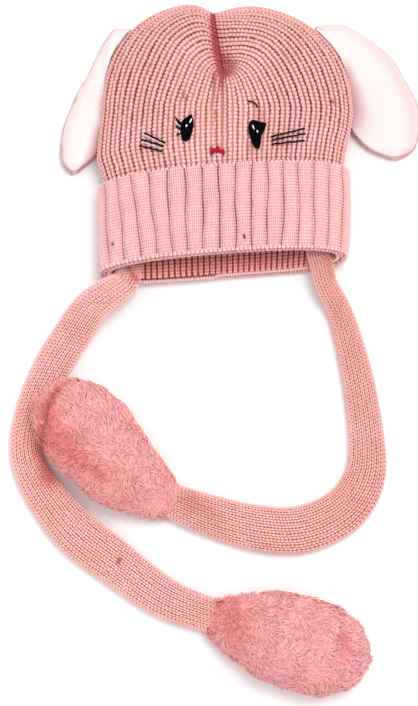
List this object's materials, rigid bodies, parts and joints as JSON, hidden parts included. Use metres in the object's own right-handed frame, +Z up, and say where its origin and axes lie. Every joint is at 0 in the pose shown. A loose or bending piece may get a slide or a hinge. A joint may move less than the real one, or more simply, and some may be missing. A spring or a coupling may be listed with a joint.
{
  "type": "baby hat with ears",
  "caption": "Knitted baby hat shaped as a rabbit, with a turned-up ribbed cuff, plush lop ears and long knitted arms that end in plush paws, lying on its back.",
  "frame": {"origin": "on the floor under the middle of the back of the cuff, where the hat rests", "axes": "+Y along the hat from its rim to its top, +Z up out of its front, +X across it to the left arm's opposite side"},
  "size_m": [0.3212, 0.5401, 0.046],
  "materials": {
    "knit": "salmon pink acrylic rib knit",
    "cuff_knit": "salmon pink acrylic wide rib knit",
    "arm_knit": "salmon pink acrylic plain knit sleeve",
    "ear_plush_pink": "pale pink short-pile plush",
    "ear_plush_white": "white short-pile plush",
    "paw_plush": "rose pink long-pile plush",
    "black_thread": "black satin stitch embroidery",
    "red_thread": "red satin stitch embroidery"
  },
  "bodies": {
    "root": {"crown": "knit", "cuff": "cuff_knit", "arm_left": "arm_knit", "arm_right": "arm_knit", "ear_back_left": "ear_plush_pink", "ear_back_right": "ear_plush_pink", "ear_front_left": "ear_plush_white", "ear_front_right": "ear_plush_white", "paw_left": "paw_plush", "paw_right": "paw_plush", "eye_left": "black_thread", "eye_right": "black_thread", "nose": "red_thread"}
  },
  "joints": []
}
